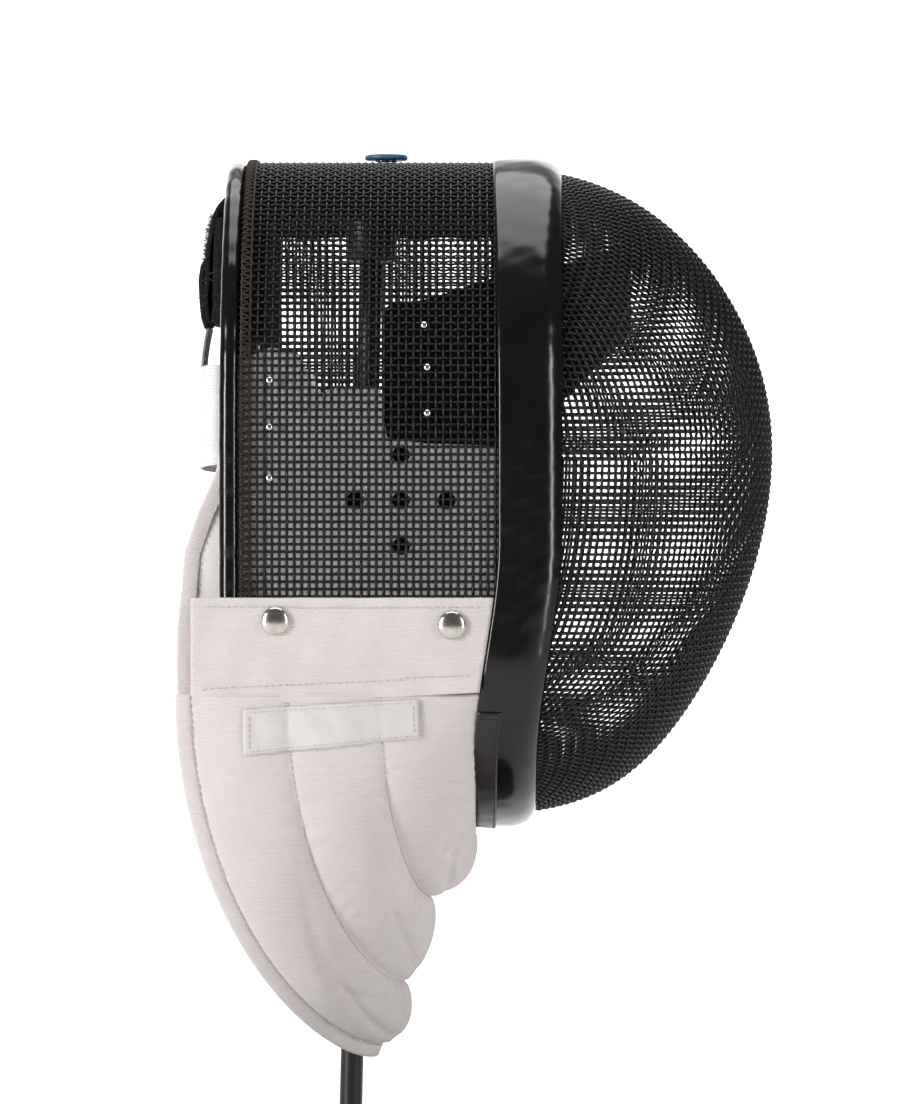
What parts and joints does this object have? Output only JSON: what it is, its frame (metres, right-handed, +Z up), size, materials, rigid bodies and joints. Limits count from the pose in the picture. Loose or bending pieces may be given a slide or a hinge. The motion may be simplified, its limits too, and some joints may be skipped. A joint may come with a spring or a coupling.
{
  "type": "fencing mask on a stand",
  "caption": "Fencing mask with a domed woven wire face, vinyl trim, back straps and a padded neck bib, held on a plain rod stand.",
  "frame": {"origin": "centre of the underside of the stand's round base", "axes": "+Z up, -Y the way the face looks, -X the wearer's right"},
  "size_m": [0.22, 0.2955, 0.4783],
  "materials": {
    "black_wire": "satin black coated steel wire",
    "black_vinyl": "glossy",
    "brown_vinyl": "semi-gloss, stitched",
    "white_cloth": "woven, ribbed",
    "label_cloth": "smooth woven",
    "liner_cloth": "smooth woven",
    "white_elastic": "ribbed elastic",
    "black_foam": "cloth-covered foam",
    "black_webbing": "hook-and-loop webbing",
    "grey_webbing": "woven webbing",
    "blue_plastic": "satin",
    "nickel": "polished nickel",
    "black_metal": "satin"
  },
  "bodies": {
    "root": {"front_mesh": "black_wire", "side_mesh": "black_wire", "front_trim": "black_vinyl", "trim_flap": "brown_vinyl", "rim_binding": "black_vinyl", "bib": "white_cloth", "bib_binding": "white_cloth", "bib_band_right": "white_cloth", "bib_band_left": "white_cloth", "label_patch": "label_cloth", "liner_right": "liner_cloth", "liner_left": "liner_cloth", "forehead_pad": "black_foam", "crown_pad": "black_foam", "elastic_strap": "white_elastic", "back_strap": "black_webbing", "strap_loop": "grey_webbing", "crown_button": "blue_plastic", "crown_washer": "nickel", "stand_base": "black_metal", "stand_pole": "black_metal", "stand_block": "black_metal", "band_stud_front_right": "nickel", "band_stud_rear_right": "nickel", "strap_rivet_upper_right": "nickel", "strap_rivet_middle_right": "nickel", "strap_rivet_lower_right": "nickel", "pad_rivet_upper_right": "nickel", "pad_rivet_middle_right": "nickel", "pad_rivet_lower_right": "nickel", "band_stud_front_left": "nickel", "band_stud_rear_left": "nickel", "strap_rivet_upper_left": "nickel", "strap_rivet_middle_left": "nickel", "strap_rivet_lower_left": "nickel", "pad_rivet_upper_left": "nickel", "pad_rivet_middle_left": "nickel", "pad_rivet_lower_left": "nickel"}
  },
  "joints": []
}
